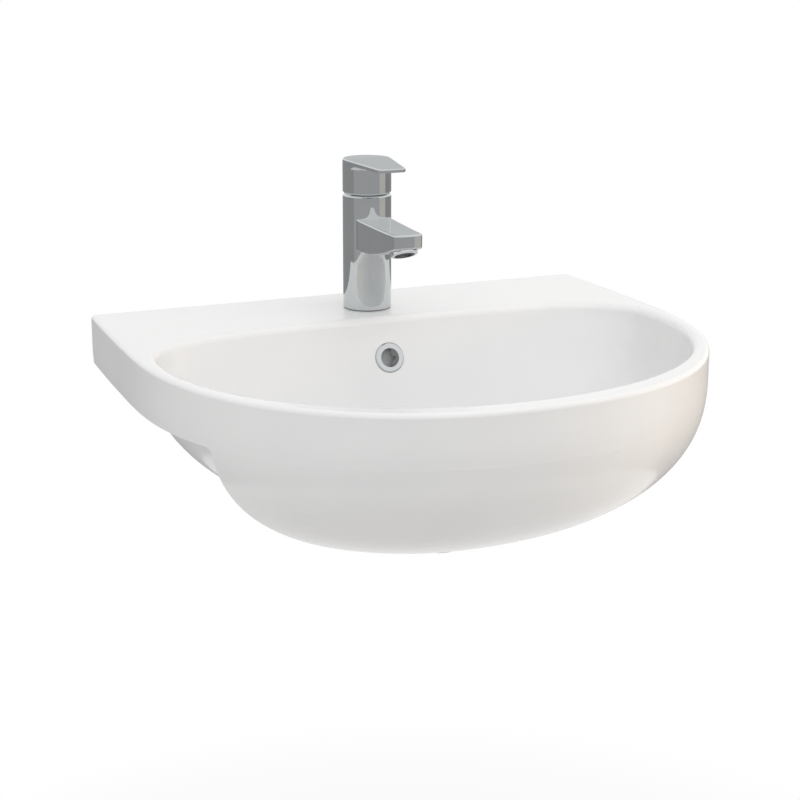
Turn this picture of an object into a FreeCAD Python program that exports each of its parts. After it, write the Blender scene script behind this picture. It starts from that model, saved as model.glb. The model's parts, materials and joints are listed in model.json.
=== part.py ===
"""Semi recessed wash basin with a single lever mixer tap, an overflow ring and a press-to-open waste.

Millimetres, +Z up. The origin is where three planes of the fitted basin meet: the wall behind it,
the worktop that the rim sits on, and the basin's middle. +X is to the user's right, the wall is +Y.
"""
import FreeCAD
import Part
import math
import os

Vec = FreeCAD.Vector
up = Vec(0, 0, 1)
east = Vec(1, 0, 0)
south = Vec(0, -1, 0)

# ---- china: plan and heights ----
half_width = 280.0            # at the widest
back_inset = 4.0              # each side, narrower at the wall
back_half_width = half_width - back_inset
wall_to_widest = 179.0
widest_to_front = 294.0
plan_power = 2.2              # squareness of the front's curve
rim_height = 50.0             # rim above the worktop
skirt_drop = 30.0             # the outer form stays upright this far below the rim
outer_depth = 189.0           # rim to the lowest point of the outer form, by its sides
outer_power = 2.45            # fullness of the outer form's sides
front_depth = 198.0           # the same two for its front
front_power = 2.1
worktop_front = 326.0         # wall to the worktop's front face, where the apron's shoulder stands
china = 12.0                  # wall of the apron
rim_round = 4.0
lip_round = 7.0
notch_round = 7.0             # where the seat under the rim turns down into the apron's shoulder
seat_step = 5.0               # the apron's hollow starts this far below the seat

# ---- china: bowl ----
rim_side = 18.5               # rim's width at the sides, lip included
rim_front = 24.5
deck_depth = 121.5            # wall to the bowl's back
bowl_centre = 219.0           # wall to the bowl's widest
bowl_back_power = 3.1
bowl_front_power = 2.06
bowl_fullness = 2.4           # how long the bowl's sides stay steep
bowl_back_fullness = 1.6
bowl_bottom_power = 2.2
bowl_depth = 145.0
bowl_wall = 11.0
bowl_drift = 24.0             # how far the bowl's middle moves forward on the way down

# ---- china: deck, pockets, holes ----
deck_thickness = 13.0
pocket_side = 30.0            # china left along the sides
pocket_edge = 14.0            # china left along the wall side
web = 11.0
web_place = 96.0              # webs that carry the deck, each side of the tap
tap_from_wall = 69.0
tap_hole_r = 17.5
overflow_drop = 41.0          # below the rim
overflow_hole_r = 12.2
duct_gap = 10.0
duct_wall = 7.0
duct_half_width = 19.0
waste_from_wall = 254.0
waste_hole_r = 23.0
waste_seat_r = 33.5
waste_seat_depth = 4.0
boss_r = 41.0
chamber_r = 32.0

# ---- overflow ring ----
ring_r = 15.2
ring_bore_r = 9.8
ring_wall = 1.6
ring_length = 14.0
ring_sink = 1.6               # its flange sits this far into the bowl's back
ring_proud = 1.4

# ---- waste ----
tail_r = 20.95                # G 1 1/4
tail_bore_r = 18.2
tail_length = 54.0
flange_r = 32.5
flange_thickness = 3.0
plug_seat_depth = 1.2
seal_thickness = 1.5
washer_r = 31.0
washer_thickness = 5.0
nut_across = 52.0
nut_thickness = 9.0
groove_width = 1.5            # thread relief below the nut
groove_depth = 0.7
slot_height = 7.0
slot_width = 14.0
plug_r = 27.5
plug_seat_r = 28.3
plug_thickness = 4.0
plug_crown = 2.5
plug_ease = 0.8
plug_travel = 9.0
stem_collar = 2.0
plug_seal_r = 25.0
plug_seal_bore_r = 19.5
hub_r = 10.5
hub_drop = 29.0               # from the flange's underside to the hub's top
hub_height = 6.0
spoke = 3.0
clicker_r = 7.5
clicker_rise = 20.0           # above the hub
clicker_floor = 2.0
clicker_cavity_r = 5.2
clicker_roof = 3.5
stem_r = 3.2
stem_foot_r = 2.2
spring_wire_r = 0.45
spring_turns = 6

# ---- tap, heights above the deck ----
body_r = 25.0
body_height = 119.0
base_gasket = 0.5
base_chamfer = 0.8
base_room_r = 17.0
base_room_top = 26.0
joint_gap = 0.8
joint_chamfer = 1.7
lever_top = 155.0
lever_tip_top = 152.6
lever_tip_under = 148.9
lever_reach = 69.0
lever_tip_half = 15.0
lever_corner = 4.0
lever_sweep = 6.0             # radius between the post and the blade's underside
lever_root_drop = 1.2         # the blade is this much thicker at the post than at its tip
lever_edge = 1.1
lever_wall = 2.6
lever_ceiling = 10.0          # roof of the lever's hollow above the pivot
lift_angle = 20.0
turn_angle = 45.0
pivot_height = 134.0
spout_reach = 111.0
spout_front_r = 36.0          # bow of its front, in plan
spout_top_root = 95.6
spout_top_dip = 94.6
spout_top_tip = 93.8
spout_under_root = 63.5
spout_under_middle = 67.0
spout_under_tip = 80.4
spout_root_half = 18.0
spout_tip_half = 15.5
spout_corner = 4.5
spout_round = 1.6
outlet_reach = 93.5
outlet_tilt = 25.0            # degrees, the outlet looks this far forward
aerator_r = 13.2
aerator_foot = 70.5
aerator_top = 80.0
aerator_wall = 1.8
aerator_rim = 1.2
aerator_washer = 1.5
channel_r = 4.6
channel_height = 86.6
cartridge_r = 17.5
cartridge_foot = 74.0
cartridge_base = 6.0
cartridge_top = 106.0
cartridge_wall = 2.2
disc_thickness = 4.0
disc_r = 13.6
collar_r = 12.8
collar_top = 126.0
nut_r = 19.4
nut_height = 8.0
dome_gap = 0.8
dome_drop = 9.0               # its top is this far below the lift pivot
dome_round = 2.5
carrier_r = 10.2
carrier_cap_r = 12.8
carrier_top = 139.0
pin_r = 2.6
pin_half = 8.5
spindle_half = 3.6
spindle_foot = 122.0
spindle_top = 152.0
grub_r = 2.5
grub_height = 148.0
grub_length = 9.0
cap_r = 3.6
cap_length = 3.0
inlet_r = 4.6                 # M10x1 tails screw in here
inlet_depth = 14.0
inlet_half_spacing = 8.0
inlet_forward = 5.0
water_r = 3.0
mixed_r = 4.0
mixed_back = 7.0
stud_r = 3.9                  # M8
stud_back = 11.0
stud_depth = 12.0
stud_drop = 62.0
plate_r = 26.0
plate_mouth = 14.5
mouth_forward = 10.0
rubber_thickness = 3.0
plate_thickness = 2.5
stud_nut_across = 13.0
stud_nut_height = 6.5
clearance = 0.3
running = 0.05
touch = 0.02

bowl_half_width = half_width - rim_side
bowl_front = wall_to_widest + widest_to_front - rim_front - bowl_centre
bowl_back = bowl_centre - deck_depth
pocket_half_width = back_half_width - pocket_side
basin_top = rim_height
deck_under = rim_height - deck_thickness
bowl_floor = rim_height - bowl_depth
tap_axis = Vec(0, -tap_from_wall, 0)


def cylinder(radius, low, high, x=0.0, y=0.0):
    return Part.makeCylinder(radius, high - low, Vec(x, y, low), up)


def ring(outer, inner, low, high, x=0.0, y=0.0):
    return cylinder(outer, low, high, x, y).cut(cylinder(inner, low - 1, high + 1, x, y))


def box(x0, x1, y0, y1, z0, z1):
    return Part.makeBox(x1 - x0, y1 - y0, z1 - z0, Vec(x0, y0, z0))


def smooth(points, closed=False):
    curve = Part.BSplineCurve()
    curve.interpolate(Points=points, PeriodicFlag=closed)
    return curve.toShape()


def polygon(points):
    return Part.makePolygon(list(points) + [points[0]])


def squircle(angle, power):
    """Unit point of a superellipse, evenly spread over the angle."""
    c, s = math.cos(angle), math.sin(angle)
    size = (abs(c) ** power + abs(s) ** power) ** (1 / power)
    return c / size, s / size


def turned(profile, x, y):
    """Solid of revolution about the upright through x, y. The profile holds (radius, height) points."""
    face = Part.Face(polygon([Vec(x + r, y, z) for r, z in profile]))
    return face.revolve(Vec(x, y, 0), up, 360)


def largest(shape):
    return max(shape.Solids, key=lambda s: s.Volume)


# ---------------------------------------------------------------- china
def fullness(depth, whole, power):
    """Share of the plan that is left at a depth, on the outer form."""
    fallen = max(0.0, (depth - skirt_drop) / (whole - skirt_drop))
    return (1 - fallen ** power) ** (1 / power)


def outer_form(inset=0.0):
    """The basin's outer skin as one closed form, from the rim down, open past the wall."""
    behind = 20.0
    whole = outer_depth - inset
    steps = 11
    wires = []
    for k in range(steps):
        depth = whole * 0.97 * math.sin(math.pi / 2 * k / (steps - 1))
        across = (half_width - inset) * fullness(depth, whole, outer_power)
        ahead = (widest_to_front - inset) * fullness(depth, front_depth - inset, front_power)
        z = basin_top - depth
        points = []
        for y in (behind, 0.0, -0.35 * wall_to_widest, -0.7 * wall_to_widest):
            taper = (half_width - back_half_width) * ((y + wall_to_widest) / wall_to_widest) ** 2
            points.append(Vec(across - taper, y, z))
        count = 16
        for i in range(count + 1):
            x, y = squircle(math.pi * i / count, plan_power)
            points.append(Vec(across * x, -wall_to_widest - ahead * y, z))
        for p in reversed(points[:4]):
            points.append(Vec(-p.x, p.y, p.z))
        wires.append(Part.Wire([smooth(points), Part.makeLine(points[-1], points[0])]))
    return Part.makeLoft(wires, True, False)


def bowl_share(t, power=bowl_fullness):
    return (1 - t ** power) ** (1 / bowl_bottom_power)


def bowl_form(outset=0.0):
    """The bowl's hollow as a closed form. An outset gives the skin that far outside it."""
    wires = []
    for t in (0.0, 0.13, 0.28, 0.44, 0.6, 0.75, 0.87, 0.95, 0.99):
        z = basin_top - t * (bowl_depth + outset)
        across = (bowl_half_width + outset) * bowl_share(t)
        ahead = (bowl_front + outset) * bowl_share(t)
        behind = (bowl_back + outset) * bowl_share(t, bowl_back_fullness)
        middle = -bowl_centre - bowl_drift * t * t
        squareness = bowl_back_power + (2.0 - bowl_back_power) * t
        count = 32
        points = []
        for i in range(count):
            angle = 2 * math.pi * i / count
            x, y = squircle(angle, bowl_front_power if angle > math.pi else squareness)
            points.append(Vec(across * x, middle + (behind if y > 0 else ahead) * y, z))
        wires.append(Part.Wire([smooth(points, closed=True)]))
    return Part.makeLoft(wires, True, False)


def bowl_back_at(depth):
    """Where the bowl's back stands at a depth, on the middle line."""
    t = depth / bowl_depth
    return -bowl_centre - bowl_drift * t * t + bowl_back * bowl_share(t, bowl_back_fullness)


def overflow_frame():
    """Centre of the overflow on the bowl's back, and the direction out of the hole."""
    rise = bowl_back_at(overflow_drop - 1) - bowl_back_at(overflow_drop + 1)
    lean = math.atan2(rise, 2)
    centre = Vec(0, bowl_back_at(overflow_drop), basin_top - overflow_drop)
    return centre, Vec(0, -math.cos(lean), math.sin(lean))


def overflow_duct(skin):
    """Duct behind the bowl, from the overflow down to the chamber round the waste: outside and hollow."""
    high = basin_top - overflow_drop + overflow_hole_r + 2
    low = bowl_floor - bowl_wall - duct_gap - duct_wall - 1
    outside_half = duct_half_width + duct_wall
    shell = bowl_form(bowl_wall + duct_gap + duct_wall)
    outside = shell.common(box(-outside_half, outside_half, -waste_from_wall, 0, low, high + duct_wall))
    hollow = bowl_form(bowl_wall + duct_gap)
    hollow = hollow.common(box(-duct_half_width, duct_half_width, -waste_from_wall, 0, low, high))
    return outside, hollow.cut(skin)


def make_basin():
    outer = outer_form()
    far = 400.0
    above = box(-far, far, -2 * far, 0, 0, basin_top)
    ahead = box(-far, far, -2 * far, -worktop_front, -far, 0)
    notch = box(-far, far, -worktop_front, notch_round - worktop_front, -notch_round, 0)
    roller = Vec(-far, notch_round - worktop_front, -notch_round)
    notch = notch.cut(Part.makeCylinder(notch_round, 2 * far, roller, east))
    ahead = ahead.fuse(notch)
    body = outer.common(above).fuse(outer.common(ahead))
    skin = bowl_form(bowl_wall)

    ahead_of_worktop = box(-far, far, -2 * far, -worktop_front, -far, -seat_step - notch_round)
    apron_hollow = outer_form(china).common(ahead_of_worktop)
    body = body.cut(apron_hollow)
    pocket = box(-pocket_half_width, pocket_half_width, -wall_to_widest, -pocket_edge, -1, deck_under)
    for side in (-1, 1):
        middle = side * web_place
        pocket = pocket.cut(box(middle - web / 2, middle + web / 2, -wall_to_widest, 0, -1, deck_under))
    body = body.cut(pocket.cut(skin))

    duct, duct_hollow = overflow_duct(skin)
    boss_foot = bowl_floor - bowl_wall - duct_gap - duct_wall
    boss = cylinder(boss_r, boss_foot, bowl_floor - 1, y=-waste_from_wall)
    below_rim = box(-far, far, -2 * far, 0, -far, basin_top - 2)
    body = body.fuse([skin.common(below_rim), duct, boss])
    body = body.cut(duct_hollow)
    chamber_top = bowl_floor - bowl_wall
    body = body.cut(cylinder(chamber_r, chamber_top - duct_gap, chamber_top, y=-waste_from_wall))
    body = body.cut(bowl_form())

    body = body.cut(cylinder(waste_hole_r, boss_foot - 1, bowl_floor + 5, y=-waste_from_wall))
    seat = bowl_floor - waste_seat_depth
    body = body.cut(cylinder(waste_seat_r, seat, bowl_floor + 40, y=-waste_from_wall))
    body = body.cut(cylinder(tap_hole_r, deck_under - 5, basin_top + 1, y=-tap_from_wall))
    centre, out = overflow_frame()
    reach = bowl_wall + duct_gap - 2
    body = body.cut(Part.makeCylinder(overflow_hole_r, reach, centre, out * -1))
    body = body.cut(Part.makeCylinder(ring_r + clearance, 20, centre - out * ring_sink, out))
    body = largest(body)
    return round_rim(body)


def round_rim(body):
    """Rounds the two long edges of the rim's top face, and the short ones at the wall."""
    flat = [f for f in body.Faces if f.BoundBox.ZLength < 0.01 and abs(f.BoundBox.ZMax - basin_top) < 0.01]
    top = max(flat, key=lambda f: f.Area)
    wires = sorted(top.Wires, key=lambda w: w.BoundBox.XLength)
    outer_edges = [e for e in wires[-1].Edges if e.BoundBox.YLength > 1]
    lip_edges = wires[-2].Edges
    body = body.makeFillet(lip_round, lip_edges)
    return body.makeFillet(rim_round, outer_edges)


# ---------------------------------------------------------------- overflow ring
def make_overflow_ring():
    """Round-lipped ring with three sprung legs in the overflow hole."""
    centre, out = overflow_frame()
    whole = ring_sink + ring_proud
    body_outer = ring_bore_r + ring_wall
    flange = Part.makeCylinder(ring_r, whole, centre - out * ring_sink, out)
    flange = flange.makeFillet(whole * 0.45, [flange.Edges[0]])
    barrel = Part.makeCylinder(body_outer, ring_length, centre - out * (ring_sink + ring_length), out)
    piece = flange.fuse(barrel)
    start = centre - out * (ring_sink + ring_length + 1)
    piece = piece.cut(Part.makeCylinder(ring_bore_r, ring_length + whole + 2, start, out))
    slot_low = centre - out * (ring_sink + ring_length + 1)
    for turn in (0, 60, 120):
        slot = Part.makeBox(2 * ring_r, 2 * ring_wall, ring_length - 4)
        slot.translate(Vec(-ring_r, -ring_wall, 0))
        slot.rotate(Vec(0, 0, 0), up, turn)
        slot.Placement = FreeCAD.Placement(slot_low, FreeCAD.Rotation(up, out)).multiply(slot.Placement)
        piece = piece.cut(slot)
    return piece


# ---------------------------------------------------------------- waste
waste_y = -waste_from_wall
seat_z = bowl_floor - waste_seat_depth
flange_under = seat_z + seal_thickness
flange_top = flange_under + flange_thickness
plug_seat = flange_top - plug_seat_depth
boss_foot_z = bowl_floor - bowl_wall - duct_gap - duct_wall
hub_top = flange_under - hub_drop
hub_foot = hub_top - hub_height
clicker_top = hub_top + clicker_rise
chamber_middle = bowl_floor - bowl_wall - duct_gap / 2
spring_foot = hub_foot + clicker_floor
stem_shoulder = clicker_top - clicker_roof - clearance - plug_travel - stem_collar
spring_length = stem_shoulder - spring_foot
nut_foot_z = boss_foot_z - washer_thickness - nut_thickness
plug_under = plug_seat + clearance + seal_thickness


def hexagon(across, low, high, x, y, turn=0.0):
    corner = across / 2 / math.cos(math.pi / 6)
    points = []
    for k in range(6):
        angle = math.pi * k / 3 + turn
        points.append(Vec(x + corner * math.cos(angle), y + corner * math.sin(angle), low))
    prism = Part.Face(polygon(points)).extrude(Vec(0, 0, high - low))
    half = (high - low) / 2
    tip_r = across / 2 - 0.3 * half
    cone = Part.makeCone(corner + half * 2, tip_r, high - low + half, Vec(x, y, low - half / 2), up)
    other = cone.mirror(Vec(x, y, (low + high) / 2), up)
    return prism.common(cone).common(other)


def make_waste_body():
    body = cylinder(flange_r, flange_under, flange_top, y=waste_y)
    body = body.makeFillet(1.0, [body.Edges[0]])
    body = body.fuse(cylinder(tail_r, flange_under - tail_length, flange_under, y=waste_y))
    body = body.cut(cylinder(tail_bore_r, flange_under - tail_length - 1, flange_top + 1, y=waste_y))
    body = body.cut(cylinder(plug_seat_r, plug_seat, flange_top + 1, y=waste_y))
    groove_top = nut_foot_z - clearance
    groove = ring(tail_r + 1, tail_r - groove_depth, groove_top - groove_width, groove_top, y=waste_y)
    body = body.cut(groove)
    low = chamber_middle - slot_height / 2
    for turn in (0, 90):
        slot = box(-tail_r - 1, tail_r + 1, -slot_width / 2, slot_width / 2, low, low + slot_height)
        slot.rotate(Vec(0, 0, 0), up, turn)
        slot.translate(Vec(0, waste_y, 0))
        body = body.cut(slot)
    hub = cylinder(hub_r, hub_foot, hub_top, y=waste_y)
    for turn in (30, 150, 270):
        arm = box(0, tail_bore_r + 0.5, -spoke / 2, spoke / 2, hub_foot, hub_top)
        arm.rotate(Vec(0, 0, 0), up, turn)
        arm.translate(Vec(0, waste_y, 0))
        hub = hub.fuse(arm)
    hub = hub.cut(cylinder(clicker_r + touch, hub_foot - 1, hub_top + 1, y=waste_y))
    return body.fuse(hub).removeSplitter()


def make_clicker():
    piece = cylinder(clicker_r, hub_foot, clicker_top, y=waste_y)
    piece = piece.fuse(cylinder((clicker_r + hub_r) / 2, hub_top, hub_top + 1.5, y=waste_y))
    roof = clicker_top - clicker_roof
    piece = piece.cut(cylinder(clicker_cavity_r, spring_foot, roof, y=waste_y))
    return piece.cut(cylinder(stem_r + running, roof - 1, clicker_top + 1, y=waste_y))


def make_plug():
    """Disc with a low crown and eased edges."""
    top = plug_under + plug_thickness + plug_crown
    ball_r = (plug_r ** 2 + plug_crown ** 2) / (2 * plug_crown)
    disc = cylinder(plug_r, plug_under, top, y=waste_y)
    disc = disc.common(Part.makeSphere(ball_r, Vec(0, waste_y, top - ball_r)))
    rims = [e for e in disc.Edges if e.BoundBox.XLength > plug_r and e.BoundBox.ZLength < 0.1]
    return disc.makeFillet(plug_ease, rims)


def make_plug_stem():
    collar = stem_shoulder + stem_collar
    piece = cylinder(stem_r, stem_shoulder, plug_under, y=waste_y)
    piece = piece.fuse(cylinder(clicker_cavity_r - 0.4, stem_shoulder, collar, y=waste_y))
    return piece.fuse(cylinder(stem_foot_r, spring_foot + 1, stem_shoulder, y=waste_y))


def make_spring():
    """Coil with closed flat ends, between the cartridge's floor and the stem's shoulder."""
    mean = (stem_foot_r + clicker_cavity_r) / 2
    length = spring_length - 2 * spring_wire_r - 2 * touch
    helix = Part.makeHelix(length / spring_turns, length, mean)
    circle = Part.makeCircle(spring_wire_r, Vec(mean, 0, 0), Vec(0, -1, 0))
    coil = Part.Wire(helix).makePipeShell([Part.Wire(circle)], True, True)
    coil.translate(Vec(0, waste_y, spring_foot + spring_wire_r + touch))
    return coil


# ---------------------------------------------------------------- tap
tap_y = -tap_from_wall


def deck(height):
    """Height above the deck, as a height in the part's frame."""
    return basin_top + height


def tap_cylinder(radius, low, high, x=0.0, y=0.0):
    return cylinder(radius, deck(low), deck(high), x, tap_y + y)


def tap_ring(outer, inner, low, high, x=0.0, y=0.0):
    return ring(outer, inner, deck(low), deck(high), x, tap_y + y)


def tap_point(ahead, height, x=0.0):
    return Vec(x, tap_y - ahead, deck(height))


def extruded_plan(points, low, high):
    face = Part.Face(polygon([Vec(x, tap_y - ahead, deck(low)) for ahead, x in points]))
    return face.extrude(Vec(0, 0, high - low))


def spout_plan(low, high):
    """Upright prism of the spout's plan: sides that narrow to a bowed front with round corners."""
    bow = spout_front_r - math.sqrt(spout_front_r ** 2 - spout_tip_half ** 2)
    root_half = spout_root_half + 1
    corners = [tap_point(spout_reach - bow, low, x) for x in (spout_tip_half, -spout_tip_half)]
    roots = [tap_point(0, low, x) for x in (root_half, -root_half)]
    front = Part.Arc(corners[0], tap_point(spout_reach, low), corners[1]).toShape()
    sides = [Part.makeLine(roots[0], corners[0]), front, Part.makeLine(corners[1], roots[1])]
    prism = Part.Face(Part.Wire(sides + [Part.makeLine(roots[1], roots[0])])).extrude(Vec(0, 0, high - low))
    upright = [e for e in prism.Edges if e.BoundBox.ZLength > 1 and e.BoundBox.YMax < tap_y - spout_reach / 2]
    return prism.makeFillet(spout_corner, upright)


def spout_form():
    """Side outline swept across, trimmed to the spout's plan."""
    far = 60.0
    top = smooth([tap_point(0, spout_top_root + 1.6, far), tap_point(body_r, spout_top_root, far),
                  tap_point(0.5 * spout_reach, spout_top_dip, far),
                  tap_point(0.75 * spout_reach, spout_top_tip + 0.2, far),
                  tap_point(spout_reach, spout_top_tip, far)])
    front = Part.makeLine(tap_point(spout_reach, spout_top_tip, far),
                          tap_point(spout_reach, spout_under_tip, far))
    under = smooth([tap_point(spout_reach, spout_under_tip, far),
                    tap_point(0.8 * spout_reach, (spout_under_tip + spout_under_middle) / 2 - 0.6, far),
                    tap_point(0.57 * spout_reach, spout_under_middle, far),
                    tap_point(body_r, spout_under_root, far), tap_point(0, spout_under_root - 0.8, far)])
    root = Part.makeLine(tap_point(0, spout_under_root - 0.8, far), tap_point(0, spout_top_root + 1.6, far))
    face = Part.Face(Part.Wire([top, front, under, root]))
    side = face.extrude(Vec(-2 * far, 0, 0))
    form = side.common(spout_plan(spout_under_root - 10, spout_top_root + 10))
    long_edges = [e for e in form.Edges if e.BoundBox.YLength > 60]
    return form.makeFillet(spout_round, long_edges)


def tilted(shape):
    """Turns a piece of the outlet about the middle of its seat, so that it looks forward."""
    shape.rotate(tap_point(outlet_reach, aerator_top + aerator_washer), east, -outlet_tilt)
    return shape


def make_tap_body():
    foot = base_gasket
    body = tap_cylinder(body_r, foot, body_height)
    level = [e for e in body.Edges if e.BoundBox.ZLength < 0.01]
    level.sort(key=lambda e: e.BoundBox.ZMax)
    body = body.makeChamfer(joint_chamfer, [level[-1]])
    level = [e for e in body.Edges if e.BoundBox.ZLength < 0.01 and e.BoundBox.ZMax < deck(foot) + 0.01]
    body = body.makeChamfer(base_chamfer, level)
    body = body.fuse(spout_form())
    body = body.cut(tap_cylinder(cartridge_r + touch, cartridge_foot, body_height + 1))
    body = body.cut(tap_cylinder(nut_r, cartridge_top - 2, body_height + 1))
    body = body.cut(tap_cylinder(base_room_r, foot - 1, base_room_top))
    body = body.cut(tap_cylinder(stud_r + touch, base_room_top - 1, base_room_top + stud_depth, y=stud_back))
    for side in (-1, 1):
        x = side * inlet_half_spacing
        port = tap_cylinder(inlet_r, base_room_top - 1, base_room_top + inlet_depth, x, -inlet_forward)
        water = tap_cylinder(water_r, base_room_top, cartridge_foot + 1, x, -inlet_forward)
        body = body.cut(port.fuse(water))
    start = tap_point(cartridge_r - 1, channel_height)
    body = body.cut(Part.makeCylinder(channel_r, outlet_reach - cartridge_r + 1, start, south))
    room = aerator_r + clearance
    washer_top = aerator_top + aerator_washer
    body = body.cut(tilted(tap_cylinder(room, spout_under_root, washer_top, y=-outlet_reach)))
    drop = aerator_r - aerator_wall - 1
    body = body.cut(tilted(tap_cylinder(drop, spout_under_root, channel_height, y=-outlet_reach)))
    return largest(body)


def make_base_gasket():
    return tap_ring(body_r - base_chamfer - clearance, base_room_r + clearance, 0, base_gasket)


def make_cartridge_base():
    piece = tap_cylinder(cartridge_r - 0.3, cartridge_foot, cartridge_foot + cartridge_base)
    for side in (-1, 1):
        piece = piece.cut(tap_cylinder(water_r, 0, cartridge_top, side * inlet_half_spacing, -inlet_forward))
    return piece.cut(tap_cylinder(mixed_r, cartridge_foot + 2, cartridge_top, 0, mixed_back))


def make_cartridge_body():
    low = cartridge_foot + cartridge_base
    piece = tap_cylinder(cartridge_r, low, cartridge_top)
    piece = piece.fuse(tap_cylinder(collar_r, low, collar_top))
    discs = low + 2 * disc_thickness
    piece = piece.cut(tap_cylinder(cartridge_r - cartridge_wall, low - 1, discs + 3.0))
    piece = piece.cut(tap_cylinder(carrier_r + running, low - 1, collar_top + 1))
    start = tap_point(disc_r, channel_height)
    return piece.cut(Part.makeCylinder(channel_r, cartridge_r, start, south))


def make_fixed_disc():
    low = cartridge_foot + cartridge_base
    piece = tap_cylinder(disc_r, low, low + disc_thickness)
    for side in (-1, 1):
        hole = tap_cylinder(water_r, 0, cartridge_top, side * inlet_half_spacing, -inlet_forward)
        piece = piece.cut(hole)
    return piece.cut(tap_cylinder(mixed_r, 0, cartridge_top, 0, mixed_back))


def make_moving_disc():
    low = cartridge_foot + cartridge_base + disc_thickness
    piece = tap_cylinder(disc_r - 0.4, low + running, low + disc_thickness)
    channel = tap_ring(disc_r - 4, water_r, low - 1, low + disc_thickness / 2)
    high = low + disc_thickness
    front = box(-2 * disc_r, 2 * disc_r, tap_y - 2 * disc_r, tap_y + 1, deck(low - 2), deck(high))
    return piece.cut(channel.cut(front))


def make_carrier():
    """Turning post that holds the lever's pivot pin, with a cap that shuts the cartridge's collar."""
    low = cartridge_foot + cartridge_base + 2 * disc_thickness
    piece = tap_cylinder(disc_r - 0.4, low, low + 2.6)
    piece = piece.fuse(tap_cylinder(carrier_r, low, carrier_top))
    piece = piece.fuse(tap_cylinder(carrier_cap_r - 0.6, collar_top + clearance, collar_top + 3))
    half = spindle_half + 0.5
    reach = 6.8
    slot = box(-half, half, tap_y - reach, tap_y + reach, deck(spindle_foot - 2), deck(carrier_top + 1))
    piece = piece.cut(slot)
    pin_axis = tap_point(0, pivot_height, -pin_half - 0.4)
    return piece.cut(Part.makeCylinder(pin_r + running, 2 * pin_half + 0.8, pin_axis, east))


def make_cartridge_nut():
    low = cartridge_top
    piece = tap_cylinder(nut_r - running, low, low + nut_height)
    piece = piece.cut(tap_cylinder(collar_r + 0.4, low - 1, low + nut_height + 1))
    for turn in range(6):
        notch = box(-1.6, 1.6, nut_r - 3.4, nut_r + 1, deck(low + nut_height - 3), deck(low + nut_height + 1))
        notch.rotate(Vec(0, 0, 0), up, 60 * turn)
        notch.translate(Vec(0, tap_y, 0))
        piece = piece.cut(notch)
    return piece


def make_dome_ring():
    """Bright cover over the nut. Its neck is as wide as the lifted lever's hollow leaves room for."""
    low = cartridge_top + nut_height
    lean = math.radians(lift_angle)
    drop = pivot_height - body_height
    neck_r = (body_r - lever_wall - drop * math.sin(lean)) / math.cos(lean) - dome_gap
    top = pivot_height - dome_drop
    neck = tap_cylinder(neck_r, low, top)
    neck = neck.makeFillet(dome_round, [e for e in neck.Edges if e.BoundBox.ZMin > deck(top) - 0.01])
    piece = neck.fuse(tap_cylinder(nut_r - clearance, low, body_height))
    return piece.cut(tap_cylinder(collar_r + clearance, low - 1, pivot_height))


def lever_plan():
    """Plan of the lever's blade, which leaves the post's circle at a tangent."""
    reach, half = lever_reach, lever_tip_half
    edge = reach - lever_corner
    distance = math.hypot(edge, half)
    angle = math.atan2(half, edge) + math.acos(body_r / distance)
    ahead, x = body_r * math.cos(angle), body_r * math.sin(angle)
    plan = [(0, x * 0.8), (ahead, x), (edge, half), (reach, half - lever_corner)]
    return plan + [(a, -b) for a, b in reversed(plan)]


def on_top(edge):
    """True for an edge that bounds the lever's top faces."""
    fall = (lever_top - lever_tip_top) / lever_reach
    for vertex in edge.Vertexes:
        ahead = max(0.0, tap_y - vertex.Y)
        if abs(vertex.Z - deck(lever_top - fall * ahead)) > 0.02:
            return False
    middle = edge.valueAt((edge.FirstParameter + edge.LastParameter) / 2)
    across = edge.BoundBox.XLength > 1.9 * body_r and abs(middle.x) < 1 and abs(middle.y - tap_y) < 1
    return not across


def lever_sweep_form(high):
    """Trumpet round the post that carries it over into the blade's underside."""
    inside = body_r - 0.3
    outside = body_r + lever_sweep
    reach = outside - inside
    points = [(0, high), (0, high - reach), (inside, high - reach), (outside, high)]
    start, foot, neck, lip = [Vec(r, tap_y, deck(z)) for r, z in points]
    middle = Vec(outside - reach * math.sqrt(0.5), tap_y, deck(high - reach * (1 - math.sqrt(0.5))))
    hollow = Part.Arc(neck, middle, lip).toShape()
    lines = [Part.makeLine(start, foot), Part.makeLine(foot, neck), hollow, Part.makeLine(lip, start)]
    return Part.Face(Part.Wire(lines)).revolve(Vec(0, tap_y, 0), up, 360)


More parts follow.
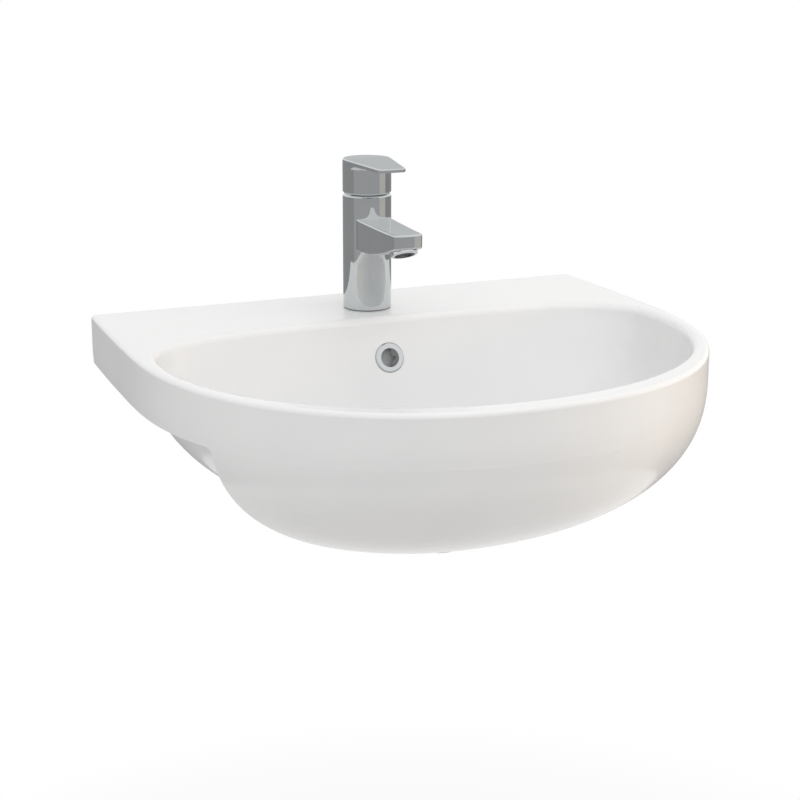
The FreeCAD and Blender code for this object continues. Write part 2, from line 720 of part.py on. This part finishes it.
def make_lever():
    low = body_height + joint_gap
    post = tap_cylinder(body_r, low, lever_top + 2)
    fall = (lever_top - lever_tip_top) / lever_reach
    root_under = lever_top - (lever_tip_top - lever_tip_under) - lever_root_drop
    end = lever_reach + 1
    far = 60.0
    side = [tap_point(0, lever_top, far), tap_point(end, lever_top - fall * end, far),
            tap_point(end, lever_tip_under, far), tap_point(0, root_under, far)]
    plan = extruded_plan(lever_plan(), low, lever_top + 5)
    blade = plan.common(Part.Face(polygon(side)).extrude(Vec(-2 * far, 0, 0)))
    blade = blade.fuse(plan.common(lever_sweep_form(root_under)))
    post = post.common(box(-far, far, tap_y - far, tap_y + far, deck(low), deck(lever_top)))
    body = post.fuse(blade)
    tip_cut = [tap_point(0, lever_top, far), tap_point(2 * far, lever_top - fall * 2 * far, far),
               tap_point(2 * far, lever_top + 9, far), tap_point(0, lever_top + 9, far)]
    body = body.cut(Part.Face(polygon(tip_cut)).extrude(Vec(-2 * far, 0, 0))).removeSplitter()
    rim = [e for e in body.Edges if abs(e.BoundBox.ZMax - deck(low)) < 0.01 and e.BoundBox.ZLength < 0.01]
    body = body.makeChamfer(joint_chamfer, rim)
    crown = [e for e in body.Edges if e.BoundBox.ZMin > deck(lever_tip_top) - lever_edge and on_top(e)]
    body = body.makeChamfer(lever_edge, crown)
    hollow = tap_cylinder(body_r - lever_wall, low - 1, pivot_height + lever_ceiling)
    body = body.cut(hollow)
    lean = math.radians(lift_angle)
    drop = pivot_height - body_height - clearance
    rise = low - pivot_height
    start = (drop + rise * math.cos(lean)) / math.sin(lean)
    rear = start + 40
    high = (rear * math.sin(lean) - drop) / math.cos(lean) + pivot_height
    wedge = [tap_point(-start, low, far), tap_point(-rear, low, far), tap_point(-rear, high, far)]
    body = body.cut(Part.Face(polygon(wedge)).extrude(Vec(-2 * far, 0, 0)))
    half = spindle_half + touch
    roof = pivot_height + lever_ceiling - 1
    body = body.cut(box(-half, half, tap_y - half, tap_y + half, deck(roof), deck(spindle_top) + touch))
    screw = Part.makeCylinder(grub_r + touch, body_r, tap_point(0, grub_height), Vec(0, 1, 0))
    cap = Part.makeCylinder(cap_r + touch, body_r, tap_point(-body_r + cap_length, grub_height), Vec(0, 1, 0))
    return body.cut(screw.fuse(cap))


def make_lever_spindle():
    half = spindle_half
    neck = half - 0.8
    piece = box(-half, half, tap_y - half, tap_y + half, deck(pivot_height - 4), deck(spindle_top))
    piece = piece.fuse(box(-neck, neck, tap_y - neck, tap_y + neck, deck(spindle_foot), deck(pivot_height)))
    return piece.fuse(Part.makeCylinder(pin_r, 2 * pin_half, tap_point(0, pivot_height, -pin_half), east))


def make_grub_screw():
    start = tap_point(-spindle_half - touch, grub_height)
    piece = Part.makeCylinder(grub_r, grub_length, start, Vec(0, 1, 0))
    socket = []
    for k in range(6):
        angle = math.pi * k / 3
        height = grub_height + 1.4 * math.sin(angle)
        socket.append(tap_point(-spindle_half - grub_length - 1, height, 1.4 * math.cos(angle)))
    return piece.cut(Part.Face(polygon(socket)).extrude(Vec(0, -4.5, 0)))


def make_grub_cap():
    start = tap_point(-body_r + cap_length, grub_height)
    piece = Part.makeCylinder(cap_r, cap_length + 1, start, Vec(0, 1, 0))
    return piece.common(tap_cylinder(body_r - 0.1, 0, lever_top))


def make_aerator_housing():
    piece = tap_cylinder(aerator_r, aerator_foot, aerator_top, y=-outlet_reach)
    edge = [e for e in piece.Edges if abs(e.BoundBox.ZMax - deck(aerator_foot)) < 0.01]
    piece = piece.makeChamfer(0.7, edge)
    inner = aerator_r - aerator_wall
    piece = piece.cut(tap_cylinder(inner, aerator_foot + aerator_rim, aerator_top + 1, y=-outlet_reach))
    return tilted(piece.cut(tap_cylinder(inner - 1.2, 0, aerator_top, y=-outlet_reach)))


def make_aerator_insert():
    """Plastic flow straightener with a square grid."""
    inner = aerator_r - aerator_wall - touch
    low = aerator_foot + aerator_rim
    piece = tap_cylinder(inner, low, aerator_top, y=-outlet_reach)
    pitch = 3.0
    count = 3
    hole = 1.1
    for i in range(-count, count + 1):
        for j in range(-count, count + 1):
            if math.hypot(i, j) * pitch < inner - 2.4:
                x, y = i * pitch, tap_y - outlet_reach + j * pitch
                piece = piece.cut(box(x - hole, x + hole, y - hole, y + hole,
                                      deck(low - 1), deck(aerator_top + 1)))
    return tilted(piece)


def make_aerator_washer():
    inner = aerator_r - aerator_wall - 1.4
    return tilted(tap_ring(aerator_r, inner, aerator_top, aerator_top + aerator_washer, y=-outlet_reach))


def horseshoe(low, high, radius):
    """Plate with a mouth for the water pipes, open to the front."""
    piece = cylinder(radius, low, high, y=tap_y)
    front = tap_y - mouth_forward
    mouth = cylinder(plate_mouth, low - 1, high + 1, y=front)
    mouth = mouth.fuse(box(-plate_mouth, plate_mouth, tap_y - 2 * radius, front, low - 1, high + 1))
    return piece.cut(mouth).cut(cylinder(stud_r + clearance, low - 1, high + 1, y=tap_y + stud_back))


plate_under = deck_under - rubber_thickness - plate_thickness


def make_stud():
    return cylinder(stud_r, deck_under - stud_drop / 2, deck(base_room_top + stud_depth), y=tap_y + stud_back)


def make_stud_nut():
    y = tap_y + stud_back
    piece = hexagon(stud_nut_across, plate_under - stud_nut_height, plate_under, 0, y)
    return piece.cut(cylinder(stud_r + touch, plate_under - stud_nut_height - 1, plate_under + 1, y=y))


def make_backnut():
    high = boss_foot_z - washer_thickness
    piece = hexagon(nut_across, high - nut_thickness, high, 0, waste_y)
    piece = piece.fuse(cylinder(washer_r - 1, high - 2.5, high, y=waste_y))
    return piece.cut(cylinder(tail_r + touch, high - nut_thickness - 1, high + 1, y=waste_y))


nodes = {
    "basin_body": make_basin,
    "overflow_ring": make_overflow_ring,
    "waste_body": make_waste_body,
    "waste_top_seal": lambda: ring(flange_r - 0.6, tail_r + 0.2, seat_z, flange_under, y=waste_y),
    "waste_under_washer": lambda: ring(washer_r, tail_r + 0.3, boss_foot_z - washer_thickness,
                                       boss_foot_z, y=waste_y),
    "waste_backnut": make_backnut,
    "waste_clicker": make_clicker,
    "waste_plug": make_plug,
    "plug_seal": lambda: ring(plug_seal_r, plug_seal_bore_r, plug_seat + clearance, plug_under, y=waste_y),
    "plug_stem": make_plug_stem,
    "plug_spring": make_spring,
    "tap_body": make_tap_body,
    "tap_base_gasket": make_base_gasket,
    "cartridge_base": make_cartridge_base,
    "cartridge_body": make_cartridge_body,
    "cartridge_fixed_disc": make_fixed_disc,
    "cartridge_moving_disc": make_moving_disc,
    "cartridge_carrier": make_carrier,
    "cartridge_nut": make_cartridge_nut,
    "dome_ring": make_dome_ring,
    "lever_handle": make_lever,
    "lever_spindle": make_lever_spindle,
    "lever_grub_screw": make_grub_screw,
    "lever_grub_cap": make_grub_cap,
    "aerator_housing": make_aerator_housing,
    "aerator_insert": make_aerator_insert,
    "aerator_washer": make_aerator_washer,
    "tap_stud": make_stud,
    "tap_rubber_horseshoe": lambda: horseshoe(deck_under - rubber_thickness, deck_under, plate_r),
    "tap_steel_horseshoe": lambda: horseshoe(plate_under, deck_under - rubber_thickness, plate_r - 1),
    "tap_stud_nut": make_stud_nut,
}

os.makedirs("parts", exist_ok=True)
for name, make in nodes.items():
    shape = make()
    if shape.ShapeType != "Solid" and len(shape.Solids) == 1:
        shape = shape.Solids[0]
    size = shape.BoundBox
    print(name, shape.isValid(), len(shape.Solids), round(shape.Volume / 1000, 2), "cm3", size)
    shape.exportStep("parts/" + name + ".step")
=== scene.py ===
import bpy
import json
import math
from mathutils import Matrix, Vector

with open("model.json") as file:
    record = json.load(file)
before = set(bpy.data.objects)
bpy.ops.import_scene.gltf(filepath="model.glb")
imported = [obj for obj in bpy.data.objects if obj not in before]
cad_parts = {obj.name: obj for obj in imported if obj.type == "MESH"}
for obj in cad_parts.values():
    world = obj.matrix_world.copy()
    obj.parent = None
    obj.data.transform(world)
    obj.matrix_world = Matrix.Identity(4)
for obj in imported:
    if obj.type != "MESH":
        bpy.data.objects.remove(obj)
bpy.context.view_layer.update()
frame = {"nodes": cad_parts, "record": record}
nodes = frame["nodes"]
print("frame loaded:", len(nodes), "nodes")


def newMaterial(name):
    material = bpy.data.materials.new(name)
    material.use_nodes = True
    tree = material.node_tree
    return material, tree, tree.nodes["Principled BSDF"]


def addNode(tree, kind, **inputs):
    # each keyword is a socket's name, with _ for a space
    node = tree.nodes.new(kind)
    for key, value in inputs.items():
        node.inputs[key.replace("_", " ")].default_value = value
    return node


def noiseTexture(tree, scale, detail=3.0):
    coords = tree.nodes.new("ShaderNodeTexCoord")
    noise = addNode(tree, "ShaderNodeTexNoise", Scale=scale, Detail=detail)
    tree.links.new(coords.outputs["Object"], noise.inputs["Vector"])
    return noise.outputs["Fac"]


def spread(tree, source, low, high):
    # maps a 0 to 1 texture value to low to high
    node = addNode(tree, "ShaderNodeMapRange", To_Min=low, To_Max=high)
    tree.links.new(source, node.inputs["Value"])
    return node.outputs["Result"]


cloudBand = {"start": 0.35, "end": 0.65}  # the part of the noise that the two tones cover


def tint(tree, source, darker, lighter):
    ramp = tree.nodes.new("ShaderNodeValToRGB")
    first, last = ramp.color_ramp.elements
    first.color = (*darker, 1)
    last.color = (*lighter, 1)
    first.position = cloudBand["start"]
    last.position = cloudBand["end"]
    tree.links.new(source, ramp.inputs["Fac"])
    return ramp.outputs["Color"]


def addBump(tree, shader, source, strength, distance):
    bump = addNode(tree, "ShaderNodeBump", Strength=strength, Distance=distance)
    tree.links.new(source, bump.inputs["Height"])
    tree.links.new(bump.outputs["Normal"], shader.inputs["Normal"])


def clouded(name, look):
    # a base that drifts between two tones and two roughnesses
    material, tree, shader = newMaterial(name)
    cloud = noiseTexture(tree, look["cloudScale"])
    tree.links.new(tint(tree, cloud, look["darker"], look["lighter"]), shader.inputs["Base Color"])
    tree.links.new(spread(tree, cloud, *look["rough"]), shader.inputs["Roughness"])
    return material, tree, shader


# fired glaze: nearly even white, a soft coat and a faint ripple
glaze = {"darker": (0.775, 0.775, 0.775), "lighter": (0.795, 0.795, 0.793), "rough": (0.20, 0.26),
         "cloudScale": 9.0, "ior": 1.52, "coat": 0.35, "coatRough": 0.12,
         "waveScale": 26.0, "waveDetail": 1.5, "waveStrength": 0.05, "waveDepth": 0.0006}


def glazedChina():
    material, tree, shader = clouded("vitreousChina", glaze)
    shader.inputs["IOR"].default_value = glaze["ior"]
    shader.inputs["Coat Weight"].default_value = glaze["coat"]
    shader.inputs["Coat Roughness"].default_value = glaze["coatRough"]
    wave = noiseTexture(tree, glaze["waveScale"], glaze["waveDetail"])
    addBump(tree, shader, wave, glaze["waveStrength"], glaze["waveDepth"])
    return material


# bare and plated metals, by how fine and how deep their grain is
plated = {"cloudScale": 30.0, "grainScale": 150.0, "grainStrength": 0.05, "grainDepth": 0.00001}
turned = {"cloudScale": 44.0, "grainScale": 220.0, "grainStrength": 0.15, "grainDepth": 0.00002}
metals = {
    "polishedChrome": {"darker": (0.58, 0.60, 0.605), "lighter": (0.61, 0.63, 0.635), "rough": (0.03, 0.05),
                       **plated},
    "satinChrome": {"darker": (0.55, 0.56, 0.57), "lighter": (0.62, 0.63, 0.64), "rough": (0.18, 0.28),
                    **turned},
    "turnedSteel": {"darker": (0.48, 0.48, 0.49), "lighter": (0.58, 0.58, 0.59), "rough": (0.25, 0.38),
                    **turned},
    "turnedBrass": {"darker": (0.62, 0.45, 0.20), "lighter": (0.72, 0.55, 0.27), "rough": (0.22, 0.35),
                    **turned}}

# moulded and fired small pieces: seals, valve shell, discs, outlet mesh
pressed = {"cloudScale": 60.0, "grainScale": 400.0, "grainStrength": 0.3, "grainDepth": 0.00004}
mouldings = {
    "sealRubber": {"darker": (0.018, 0.018, 0.019), "lighter": (0.03, 0.03, 0.031), "rough": (0.55, 0.75),
                   **pressed},
    "valvePlastic": {"darker": (0.62, 0.62, 0.60), "lighter": (0.70, 0.70, 0.68), "rough": (0.32, 0.45),
                     **pressed},
    "discCeramic": {"darker": (0.66, 0.63, 0.58), "lighter": (0.72, 0.70, 0.66), "rough": (0.2, 0.3),
                    **pressed},
    "meshPlastic": {"darker": (0.02, 0.02, 0.022), "lighter": (0.04, 0.04, 0.042), "rough": (0.35, 0.5),
                    **pressed}}


def grained(name, look, metallic):
    material, tree, shader = clouded(name, look)
    shader.inputs["Metallic"].default_value = metallic
    grain = noiseTexture(tree, look["grainScale"])
    addBump(tree, shader, grain, look["grainStrength"], look["grainDepth"])
    return material


def metal(name):
    return grained(name, metals[name], 1.0)


def moulded(name):
    return grained(name, mouldings[name], 0.0)


chrome = metal("polishedChrome")
finishes = {"china": glazedChina(), "tap_chrome": chrome, "chrome_trim": chrome, "cap_plastic": chrome,
            "waste_metal": metal("satinChrome"), "fixing_steel": metal("turnedSteel"),
            "brass_nut": metal("turnedBrass"), "seal_rubber": moulded("sealRubber"),
            "valve_plastic": moulded("valvePlastic"), "disc_ceramic": moulded("discCeramic"),
            "mesh_plastic": moulded("meshPlastic")}
slotOf = {part["node"]: part["material_slot"] for part in frame["record"]["subparts"]}
for name, obj in nodes.items():
    obj.data.materials.clear()
    obj.data.materials.append(finishes[slotOf[name]])
print("finishes ready")


# the photograph's viewpoint: place in metres, turns in degrees
camera = {"place": (-0.6389, -1.6474, 0.4362), "upTilt": 74.003, "roll": -0.166, "heading": -23.153,
          "lens": 74.98, "sensorWidth": 36.0, "farClip": 50}
cameraData = bpy.data.cameras.new("photoCamera")
cameraData.lens = camera["lens"]
cameraData.sensor_width = camera["sensorWidth"]
cameraData.clip_end = camera["farClip"]
cameraObject = bpy.data.objects.new("photoCamera", cameraData)
cameraObject.location = camera["place"]
cameraObject.rotation_euler = [math.radians(camera[turn]) for turn in ("upTilt", "roll", "heading")]
bpy.context.scene.collection.objects.link(cameraObject)
bpy.context.scene.camera = cameraObject
print("camera set")


room = {"middle": (0, -0.24), "skyLevel": 0.84, "floorHeight": -0.80, "floorHalf": 9.0,
        "floorTone": (0.55, 0.55, 0.55), "floorRough": 0.9, "floorSpecular": 0.1,
        "shadowNear": 0.35, "shadowFar": 0.9, "shadowShare": 0.25}


def whiteWhereSeen(tree, litShader, surface, share=None):
    # plain white to the camera and in mirrors, its own lit self to everything else
    path = tree.nodes.new("ShaderNodeLightPath")
    seen = path.outputs["Is Camera Ray"]
    operations = [("MAXIMUM", path.outputs["Is Glossy Ray"]),
                  ("MAXIMUM", path.outputs["Is Transmission Ray"])]
    if share:
        operations.append(("MULTIPLY", share))
    for operation, other in operations:
        step = tree.nodes.new("ShaderNodeMath")
        step.operation = operation
        tree.links.new(seen, step.inputs[0])
        tree.links.new(other, step.inputs[1])
        seen = step.outputs[0]
    kind = "ShaderNodeBackground" if surface.node.type == "OUTPUT_WORLD" else "ShaderNodeEmission"
    white = addNode(tree, kind, Color=(1, 1, 1, 1), Strength=1.0)
    mix = tree.nodes.new("ShaderNodeMixShader")
    tree.links.new(seen, mix.inputs["Fac"])
    tree.links.new(litShader, mix.inputs[1])
    tree.links.new(white.outputs[0], mix.inputs[2])
    tree.links.new(mix.outputs[0], surface)


def placeSheet(name, corners, faces, place):
    mesh = bpy.data.meshes.new(name)
    mesh.from_pydata(corners, [], faces)
    sheet = bpy.data.objects.new(name, mesh)
    sheet.location = place
    bpy.context.scene.collection.objects.link(sheet)
    return sheet


world = bpy.data.worlds.new("softSky")
bpy.context.scene.world = world
world.use_nodes = True
sky = world.node_tree.nodes["Background"]
sky.inputs["Color"].default_value = (1, 1, 1, 1)
sky.inputs["Strength"].default_value = room["skyLevel"]
whiteWhereSeen(world.node_tree, sky.outputs[0], world.node_tree.nodes["World Output"].inputs["Surface"])

half = room["floorHalf"]
floor = placeSheet("paleFloor", [(-half, -half, 0), (half, -half, 0), (half, half, 0), (-half, half, 0)],
                   [(0, 1, 2, 3)], (0, 0, room["floorHeight"]))
floorMaterial, floorTree, floorShader = newMaterial("paleFloor")
floorShader.inputs["Base Color"].default_value = (*room["floorTone"], 1)
floorShader.inputs["Roughness"].default_value = room["floorRough"]
floorShader.inputs["Specular IOR Level"].default_value = room["floorSpecular"]
# the floor takes the object's shadow near the object and is plain white further out
spot = floorTree.nodes.new("ShaderNodeTexCoord")
reach = floorTree.nodes.new("ShaderNodeVectorMath")
reach.operation = "DISTANCE"
reach.inputs[1].default_value = (*room["middle"], 0)
floorTree.links.new(spot.outputs["Object"], reach.inputs[0])
fade = addNode(floorTree, "ShaderNodeMapRange", From_Min=room["shadowNear"], From_Max=room["shadowFar"],
               To_Min=1 - room["shadowShare"], To_Max=1.0)
floorTree.links.new(reach.outputs["Value"], fade.inputs["Value"])
whiteWhereSeen(floorTree, floorShader.outputs[0], floorTree.nodes["Material Output"].inputs["Surface"],
               fade.outputs["Result"])
floor.data.materials.append(floorMaterial)
print("sky and floor set")


def mirrorCard(name, corners, faces, tone, place=(0, 0, 0)):
    # glows in mirrors only and lights nothing
    card = placeSheet(name, corners, faces, place)
    material = bpy.data.materials.new(name)
    material.use_nodes = True
    tree = material.node_tree
    glow = addNode(tree, "ShaderNodeEmission", Color=(*tone, 1), Strength=1.0)
    tree.links.new(glow.outputs[0], tree.nodes["Material Output"].inputs["Surface"])
    card.data.materials.append(material)
    card.visible_camera = False
    card.visible_diffuse = False
    card.visible_shadow = False
    card.visible_transmission = False


# sectors of a low wide ring round the object, turned in degrees from the right
cardRing = {"height": -0.30, "inner": 0.46, "outer": 9.0, "steps": 14, "sectors": [
    {"name": "frontCard", "turn": (180, 312), "tone": (0.46, 0.46, 0.46)},
    {"name": "warmCard", "turn": (312, 348), "tone": (0.63, 0.60, 0.56)},
    {"name": "rightCard", "turn": (348, 420), "tone": (0.32, 0.32, 0.33)},
    {"name": "backCard", "turn": (60, 130), "tone": (0.35, 0.35, 0.36)},
    {"name": "leftCard", "turn": (130, 180), "tone": (0.36, 0.36, 0.36)}]}
for sector in cardRing["sectors"]:
    start, end = sector["turn"]
    steps = cardRing["steps"]
    corners = []
    for k in range(steps + 1):
        angle = math.radians(start + (end - start) * k / steps)
        for radius in (cardRing["inner"], cardRing["outer"]):
            corners.append((radius * math.cos(angle), radius * math.sin(angle), 0))
    faces = [(2 * k, 2 * k + 1, 2 * k + 3, 2 * k + 2) for k in range(steps)]
    mirrorCard(sector["name"], corners, faces, sector["tone"], (*room["middle"], cardRing["height"]))

# a small upright card behind, mirrored in the tops of the lever and the spout
tapCard = {"away": 0.30, "left": 0.04, "right": 0.30, "low": 0.222, "high": 0.34, "tone": (0.62, 0.64, 0.64)}
corners = [(tapCard[side], tapCard["away"], tapCard[height]) for side, height in (
    ("left", "low"), ("right", "low"), ("right", "high"), ("left", "high"))]
mirrorCard("tapCard", corners, [(0, 1, 2, 3)], tapCard["tone"])
print("mirror cards placed")


plainWhite = (1, 1, 1)
lamps = [
    {"name": "highSoftbox", "place": (0.3, -0.8, 1.7), "aim": (0, -0.25, 0), "size": (1.6, 1.2),
     "watts": 8, "tint": plainWhite},
    {"name": "frontSoftbox", "place": (-0.7, -2.2, 0.7), "aim": (0, -0.25, 0), "size": (1.4, 1.0),
     "watts": 4.5, "tint": plainWhite},
    {"name": "leftFill", "place": (-2.0, -0.5, 0.1), "aim": (-0.2, -0.2, 0), "size": (0.9, 0.9),
     "watts": 3.2, "tint": plainWhite},
    {"name": "warmRight", "place": (1.8, -0.8, 0.05), "aim": (0.1, -0.3, -0.05), "size": (0.8, 0.8),
     "watts": 15, "tint": (1.0, 0.80, 0.60)}]
for lamp in lamps:
    data = bpy.data.lights.new(lamp["name"], "AREA")
    data.shape = "RECTANGLE"
    data.size, data.size_y = lamp["size"]
    data.energy = lamp["watts"]
    data.color = lamp["tint"]
    lampObject = bpy.data.objects.new(lamp["name"], data)
    lampObject.location = lamp["place"]
    away = Vector(lamp["place"]) - Vector(lamp["aim"])
    lampObject.rotation_euler = away.to_track_quat("Z", "Y").to_euler()
    lampObject.visible_glossy = False  # the cards are what the chrome mirrors
    bpy.context.scene.collection.objects.link(lampObject)
bpy.context.scene.view_settings.view_transform = "Standard"
print("lamps set")
